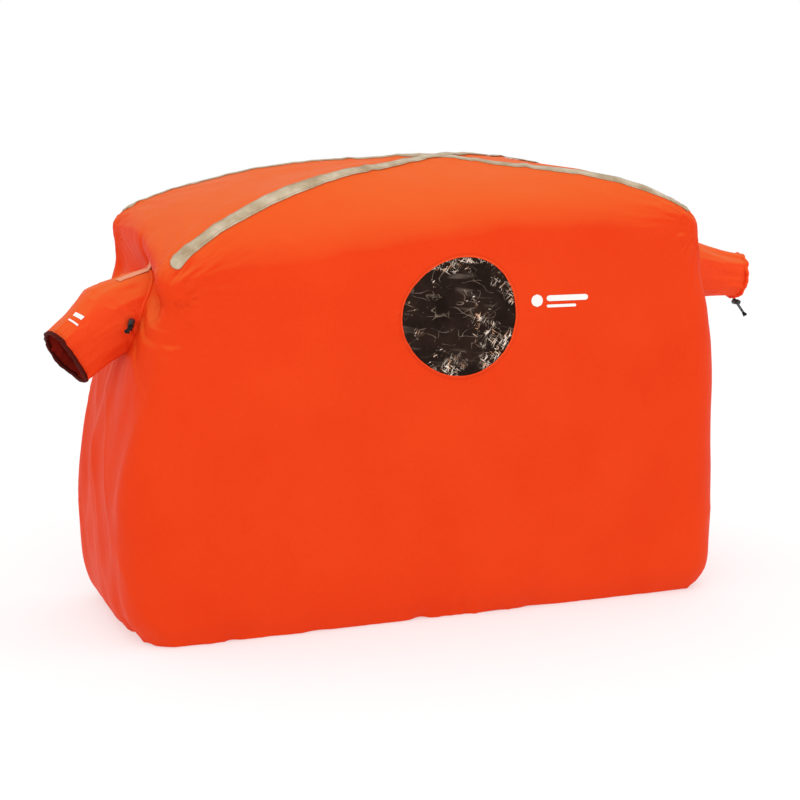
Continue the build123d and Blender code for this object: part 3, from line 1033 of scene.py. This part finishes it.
rings, spokes = (66, 260) if FINE else (30, 120)
x, z = disc_grid(rings, spokes, 0.3, WINDOW[2] + 9)
p, n = on_front(x, z, -1.6)
flat = np.stack([x, z * 0, z], -1)
edge = smooth(np.hypot(x - WINDOW[0], z - WINDOW[1]), WINDOW[2] - 2, WINDOW[2] - 26)
crumple = 2.0 * crease(flat, 46, 91) + 1.3 * crease(flat, 23, 92) + 0.7 * crease(flat, 11, 93) - 2.6
p = p + n * (crumple * edge)[..., None]
window = new_object("window_film_creased", p.reshape(-1, 3), grid_faces(rings, spokes, wrap=True), film,
                    nodes=("window_film",), slot="window_film")
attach(window, "shelter")

seam_rings = 9
x, z = disc_grid(seam_rings, spokes, WINDOW[2] + 0.8, WINDOW[2] + 4.8)
p, n = on_front(x, z, 0.4)
profile = np.sin(np.linspace(0, math.pi, seam_rings))[:, None] * 0.5
p = p + n * profile[..., None]
binding = new_object("window_seam", p.reshape(-1, 3), grid_faces(seam_rings, spokes, wrap=True), seam_cloth,
                     nodes=("window_binding",), slot="seam_binding")
thicken(binding, 0.6)
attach(binding, "shelter")
x, z = disc_grid(2, spokes, WINDOW[2] + 7.5, WINDOW[2] + 8.0)
p, n = on_front(x, z, 0.7)
loop = np.concatenate([p[0], p[0][:1]])
loop_n = np.concatenate([n[0], n[0][:1]])
ring_stitch = stitches("window_stitching", [loop], [loop_n], thread, slot="seam_binding")
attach(ring_stitch, "shelter")


# ---------------------------------------------------------------- printed marks, plain shapes only
def front_mark(name, cx, cz, width, height):
    """A bar with round ends, or a dot."""
    rows, cols = 9, 25
    u, v = np.meshgrid(np.linspace(-1, 1, cols), np.linspace(-1, 1, rows))
    reach = np.sqrt(np.clip(1 - v**2, 0, 1))
    inner = 1 - height / width
    share = np.where(np.abs(u) > inner, np.sign(u) * (inner + (np.abs(u) - inner) * reach), u)
    p, _ = on_front(cx + share * width / 2, cz + v * height / 2, 0.75)
    mark = new_object(name, p.reshape(-1, 3), grid_faces(rows, cols), print_white, slot="webbing")
    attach(mark, "shelter")


front_mark("front_mark_dot", 176, 652, 26, 26)
front_mark("front_mark_bar", 246, 656, 96, 12)
front_mark("front_mark_line", 232, 640, 68, 6)


# ---------------------------------------------------------------- vents
BASE_R, SEAM_R = 75.0, 79.0
LINING_GAP = 1.2
TAB_HALF = 10.0
# directions round a mouth or a collar
EDGE = np.linspace(0, 2 * math.pi, 96, endpoint=False)
EDGE_TURN = np.stack([np.cos(EDGE), np.sin(EDGE), EDGE * 0], -1)


def sleeve_frame(data):
    base, mouth = np.array(data["base"], float), np.array(data["mouth"], float)
    normal = np.array([data["way"] * math.cos(LEAN), 0.0, math.sin(LEAN)])
    return base, mouth, normal, unit(mouth - base)


def sleeve_line(data, count):
    """The sleeve's middle line from the panel to the mouth, with the directions along it."""
    base, mouth, normal, axis = sleeve_frame(data)
    length = np.linalg.norm(mouth - base)
    a = base + normal * 2.0
    b = a + normal * length * 0.03 + axis * length * 0.24
    c = mouth - axis * length * 0.40
    t = np.linspace(0, 1, count)[:, None]
    line = (1 - t) ** 3 * a + 3 * (1 - t) ** 2 * t * b + 3 * (1 - t) * t**2 * c + t**3 * mouth
    way = unit(np.gradient(line, axis=0))
    way[0] = normal
    way[-1] = axis
    return line, way


def ring_axes(way):
    """Two directions across each direction given, the first of them as near upright as it can be."""
    up = np.array([0.0, 0.0, 1.0])
    a = unit(up - way * (way @ up)[..., None])
    return a, np.cross(way, a)


def ringed(a, b, angles, flatten=1.0):
    return a * np.cos(angles)[..., None] + b * (np.sin(angles) * flatten)[..., None]


def flattened(data, angles, share=1.0):
    """The mouth hangs flattened on the side away from its cord lock."""
    return 1 - data["flat"] * share * np.clip(-data["lock_side"] * np.sin(angles), 0, 1)


def sleeve_radius(data, t, theta, turn, seed):
    """The sleeve's taper, its folds and its gathers, by the share of its length and the angle round it."""
    taper = 0.35 * t + 0.65 * smooth(t, 0.0, 1.0)
    radius = BASE_R + (data["mouth_r"] - BASE_R) * taper + 1.5 * np.sin(np.clip(t / 0.7, 0, 1) * math.pi)
    fade = smooth(t, 0.0, 0.10)
    folds = 4.0 * noise(turn, (0.55, 0.55, 0.5), seed) + 2.4 * noise(turn, (0.26, 0.26, 0.42), seed + 1)
    folds += 1.6 * crease(turn, (0.30, 0.30, 0.16), seed + 2)
    # folds across, where the sleeve bends down off the panel
    bend = np.exp(-((t - 0.24) / 0.16) ** 2) * (0.45 - 0.55 * np.cos(theta))
    folds += bend * 3.6 * np.sin(t * 52 + 2.0 * noise(turn, 0.7, seed + 3))
    gather = 2.0 * noise(turn, (0.15, 0.15, 2.0), seed + 4) + 1.2 * noise(turn, (0.08, 0.08, 2.0), seed + 5)
    base_gather = (1 - smooth(t, 0.02, 0.30)) * 2.2 * noise(turn, (0.14, 0.14, 2.0), seed + 6)
    return radius + folds * fade + smooth(t, 0.72, 1.0) * gather + base_gather * fade


def sleeve_cloth_piece(side, data, line, way, seed):
    """The sleeve from its seam to its mouth, turned in there and running back inside as a lining, which is
    coloured dark as painted shade.
    """
    rows, cols = len(line), 132 if FINE else 66
    a, b = ring_axes(way)
    t = np.linspace(0, 1, rows)[:, None]
    theta = np.linspace(0, 2 * math.pi, cols, endpoint=False)[None]
    every_row = np.ones_like(t)
    turn = np.stack([np.cos(theta) * every_row, np.sin(theta) * every_row, t * 0.55 + 0 * theta], -1)
    radius = sleeve_radius(data, t, theta, turn, seed)
    ring = ringed(a[:, None], b[:, None], theta, flattened(data, theta, smooth(t, 0.25, 1.0)))
    surface = line[:, None] + ring * radius[..., None]
    # its first row is sewn to the end wall
    sewn_on = np.array(data["base"], float) + ringed(a[0], b[0], theta[0]) * SEAM_R
    sewn_on, _ = on_end(side, sewn_on[:, 1], sewn_on[:, 2], 1.0)
    surface = surface + (sewn_on - surface[:1]) * (1 - smooth(t, 0.0, 0.32))[..., None]
    back = turn[::-1]
    pleat = 1.5 * noise(back, (0.10, 0.10, 1.2), seed + 12) + 1.2 * crease(back, (0.2, 0.2, 0.2), seed + 13)
    depth = 1 - (LINING_GAP + smooth(t, 0.0, 0.12) * (2.5 + pleat)) / radius[::-1]
    centre = line[::-1][:, None]
    lining = centre + (surface[::-1] - centre) * depth[..., None]
    sheet = np.concatenate([surface, lining])
    cloth = new_object(f"{side}_sleeve_cloth", sheet.reshape(-1, 3), grid_faces(*sheet.shape[:2], wrap=True),
                       sleeve_cloth, nodes=(f"{side}_sleeve_fold", f"{side}_sleeve_end"),
                       slot="sleeve_fabric")
    # the inside gets the dark colour, which is painted shade
    cloth.data.materials.append(lining_painted_shade)
    lined = np.arange(len(cloth.data.polygons)) >= (rows - 1) * cols
    cloth.data.polygons.foreach_set("material_index", lined.astype(int))
    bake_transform(cloth)
    return cloth, surface


def mouth_edge(side, data, end, way, seed):
    """The bound edge of the mouth, with the drawcord inside it, and the stitches beside it."""
    a, b = ring_axes(way)
    wobble = 2.2 * noise(EDGE_TURN, 0.16, seed + 4) + 1.4 * noise(EDGE_TURN, 0.5, seed + 7)
    mouth_ring = end + ringed(a, b, EDGE, flattened(data, EDGE)) * (data["mouth_r"] + wobble)[:, None]
    mouth_ring = mouth_ring + way * (2.6 * noise(EDGE_TURN, 0.3, seed + 8))[:, None]
    thick = 4.3 + 0.7 * noise(EDGE_TURN, 0.12, seed + 9)
    # the left mouth's edge is coloured nearly black as painted shade of its opening; the right one is the
    # sleeve's orange
    hem = tube(f"{side}_mouth_edge", mouth_ring, thick, mouth_painted_shade if side == "left" else sleeve_cloth,
               closed=True, nodes=(f"{side}_mouth_hem", f"{side}_mouth_cord"), slot="mouth_binding")
    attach(hem, f"{side}_sleeve")
    up = unit(mouth_ring - end)
    seam = mouth_ring - way * 8 + up * 2.2
    seam = np.concatenate([seam, seam[:1]])
    up = np.concatenate([up, up[:1]])
    stitching = stitches(f"{side}_mouth_stitching", [seam], [up], thread, slot="sleeve_fabric")
    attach(stitching, f"{side}_sleeve")


def collar_seam(side, data, seed):
    """The corded seam where the sleeve is sewn to the end panel."""
    base, _, normal, _ = sleeve_frame(data)
    wobble = 1.1 * noise(EDGE_TURN, 0.12, seed + 10)
    collar = base + ringed(*ring_axes(normal), EDGE) * (SEAM_R + 1 + wobble)[:, None]
    collar, _ = on_end(side, collar[:, 1], collar[:, 2], 1.5)
    thick = 3.4 + 0.7 * noise(EDGE_TURN, 0.10, seed + 11)
    seam = tube(f"{side}_collar_seam", collar, thick, sleeve_cloth, closed=True,
                nodes=(f"{side}_vent_collar", f"{side}_collar_cord"), slot="sleeve_fabric")
    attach(seam, "shelter")


def on_sleeve(surface, line, row, angles, lift):
    """Points on a sleeve's cloth, along one of its rows."""
    theta = np.linspace(0, 2 * math.pi, surface.shape[1], endpoint=False)
    points = np.stack([np.interp(angles % (2 * math.pi), theta, surface[row, :, k], period=2 * math.pi)
                       for k in range(3)], -1)
    return points + unit(points - line[row]) * lift


def collar_tab(side, data, surface, line):
    """A short webbing tab over the top of the collar, from the end wall onto the sleeve."""
    base, _, normal, _ = sleeve_frame(data)
    span = data["lock_side"] * -0.25 + np.linspace(-TAB_HALF, TAB_HALF, 9) / SEAM_R
    spokes = ringed(*ring_axes(normal), span)
    strip = []
    for out, lift in ((100, 0.9), (94, 1.2), (88, 2.2), (84, 4.6), (80, 5.4)):
        at = base + spokes * out
        strip.append(on_end(side, at[:, 1], at[:, 2], lift)[0])
    for share in (0.05, 0.09, 0.13):
        strip.append(on_sleeve(surface, line, int(len(line) * share), span, 1.3))
    strip = np.array(strip)
    tab = new_object(f"{side}_collar_tab", strip.reshape(-1, 3), grid_faces(*strip.shape[:2]), webbing,
                     nodes=(f"{side}_vent_tab",), slot="webbing")
    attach(tab, "shelter")


def build_sleeve(side, data):
    line, way = sleeve_line(data, 96 if FINE else 48)
    seed = 101 if side == "left" else 121
    cloth, surface = sleeve_cloth_piece(side, data, line, way, seed)
    mouth_edge(side, data, line[-1], way[-1], seed)
    collar_seam(side, data, seed)
    collar_tab(side, data, surface, line)
    return cloth, line, surface


sleeves = {side: build_sleeve(side, data) for side, data in SLEEVES.items()}


def sleeve_mark(side, name, shares, degrees):
    """A printed mark on a sleeve, laid on its cloth between two shares of its length and two angles."""
    _, line, surface = sleeves[side]
    first, last = (int(share * (len(surface) - 1)) for share in shares)
    span = np.linspace(*np.radians(degrees), 14)
    points = np.array([on_sleeve(surface, line, row, span, 0.9) for row in range(first, last + 1)])
    mark = new_object(name, points.reshape(-1, 3), grid_faces(*points.shape[:2]), print_white, slot="webbing")
    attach(mark, f"{side}_sleeve")


sleeve_mark("left", "left_sleeve_mark_bar", (0.66, 0.71), (-36, -8))
sleeve_mark("left", "left_sleeve_mark_line", (0.76, 0.78), (-40, -8))
sleeve_mark("right", "right_sleeve_mark_bar", (0.10, 0.16), (14, 34))

# ---------------------------------------------------------------- floor pieces: skirts, drawcord hem, seats
SKIRT, HEM_HALF, HEM_RISE = 60.0, 5.0, 6.6
# the line where the turned-under edge ends, inside the outline on the floor
floor_left, floor_right, floor_half, floor_radius = LINES[0, 1:]
inner_line = (floor_left + SKIRT, floor_right - SKIRT, floor_half - SKIRT, floor_radius - 30)
skirts = {}
for side in SIDES:
    outer = body_cloth[1, spans[side]]
    inner = side_row(side, *inner_line, 1.2)
    t = np.linspace(0, 1, 14)[:, None, None]
    flat = outer[None] * (1 - t) + inner[None] * t
    ruck = 1.6 * (1 + noise(flat, (46, 46, 30), 141)) + 1.2 * (1 + noise(flat, (19, 19, 30), 142))
    flat[..., 2] = 0.4 + ruck * np.sin(t[..., 0] * math.pi) + outer[None, :, 2] * (1 - t[..., 0]) ** 3
    skirts[side] = new_object(f"{side}_turn_under", flat.reshape(-1, 3), grid_faces(*flat.shape[:2]), fabric,
                              nodes=(f"{side}_skirt",), slot="shell_fabric")
    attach(skirts[side], "shelter")

hem_path = whole_ring(inner_line[0] + HEM_HALF, inner_line[1] - HEM_HALF, inner_line[2] - HEM_HALF,
                      inner_line[3] - HEM_HALF, HEM_RISE)
gathers = 0.9 * noise(hem_path, 16, 143) + 0.5 * noise(hem_path, 7, 144)
hem = tube("drawcord_hem", hem_path, 5.4 + gathers, fabric, closed=True,
           nodes=("hem_channel", "hem_drawcord"), slot="shell_fabric")
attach(hem, "shelter")


def seat(side):
    """A thin pad with soft rounded corners and a few sewn lines across it."""
    low, high = corners_of(f"{side}_seat")
    middle, reach = (low + high) / 2, (high - low) / 2
    angles = np.linspace(0, 2 * math.pi, 160, endpoint=False)[None]
    # rings out over the top, down round the edge, and back in underneath
    over = np.linspace(0.01, 0.97, 60)
    share = np.concatenate([over, [1.0, 0.985, 0.6, 0.01]])[:, None]
    square = (np.abs(np.cos(angles)) ** 7 + np.abs(np.sin(angles)) ** 7) ** (-1 / 7)
    x = middle[0] + reach[0] * share * square * np.cos(angles)
    y = middle[1] + reach[1] * share * square * np.sin(angles)
    where = np.stack([x, y, x * 0], -1)
    top = 3.3 + 0.5 * noise(where, 60, 151) + 0.3 * crease(where, 25, 152)
    top -= 1.1 * np.exp(-(((x - middle[0]) % 82 - 41) / 5) ** 2)
    z = np.where(np.arange(len(share))[:, None] < len(over), top, 0.5)
    z[len(over)] = 1.8
    points = np.stack([x, y, z], -1)
    pad = new_object(f"{side}_seat_pad", points.reshape(-1, 3), grid_faces(*points.shape[:2], wrap=True),
                     seat_cloth, nodes=(f"{side}_seat",), slot="seat_fabric")
    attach(pad, "shelter")
    return pad


seats = [seat(side) for side in SLEEVES]

# ---------------------------------------------------------------- the cord locks are shown as they are in CAD
for node, obj in frame["nodes"].items():
    if node.endswith(("_lock_barrel", "_lock_plunger")):
        obj.data.materials.clear()
        obj.data.materials.append(black_plastic)

# ---------------------------------------------------------------- floor, light
bpy.ops.mesh.primitive_plane_add(size=30, location=(0, 0, -0.0015))
floor = bpy.context.object
floor.name = "studio_floor"
floor_material, _, floor_shader = material("studio_floor", (0.50, 0.50, 0.50), rough=0.9, spec=0.1)
floor_shader.inputs["Emission Color"].default_value = (1, 1, 1, 1)
floor_shader.inputs["Emission Strength"].default_value = 0.5
floor.data.materials.append(floor_material)


def area_light(name, place, target, size, power):
    data = bpy.data.lights.new(name, "AREA")
    data.shape = "SQUARE"
    data.size = size
    data.energy = power
    light = bpy.data.objects.new(name, data)
    bpy.context.scene.collection.objects.link(light)
    light.location = place
    way = Vector(target) - Vector(place)
    light.rotation_euler = way.to_track_quat("-Z", "Y").to_euler()
    return light


key = area_light("key_light", (-1.2, -3.2, 3.4), (0, 0, 0.5), 2.4, 34)
fill = area_light("fill_light", (3.2, -2.6, 2.0), (0, 0, 0.5), 2.6, 8)
world = bpy.data.worlds.new("studio")
bpy.context.scene.world = world
world.use_nodes = True
world.node_tree.nodes["Background"].inputs["Color"].default_value = (1, 1, 1, 1)
world.node_tree.nodes["Background"].inputs["Strength"].default_value = 1.0
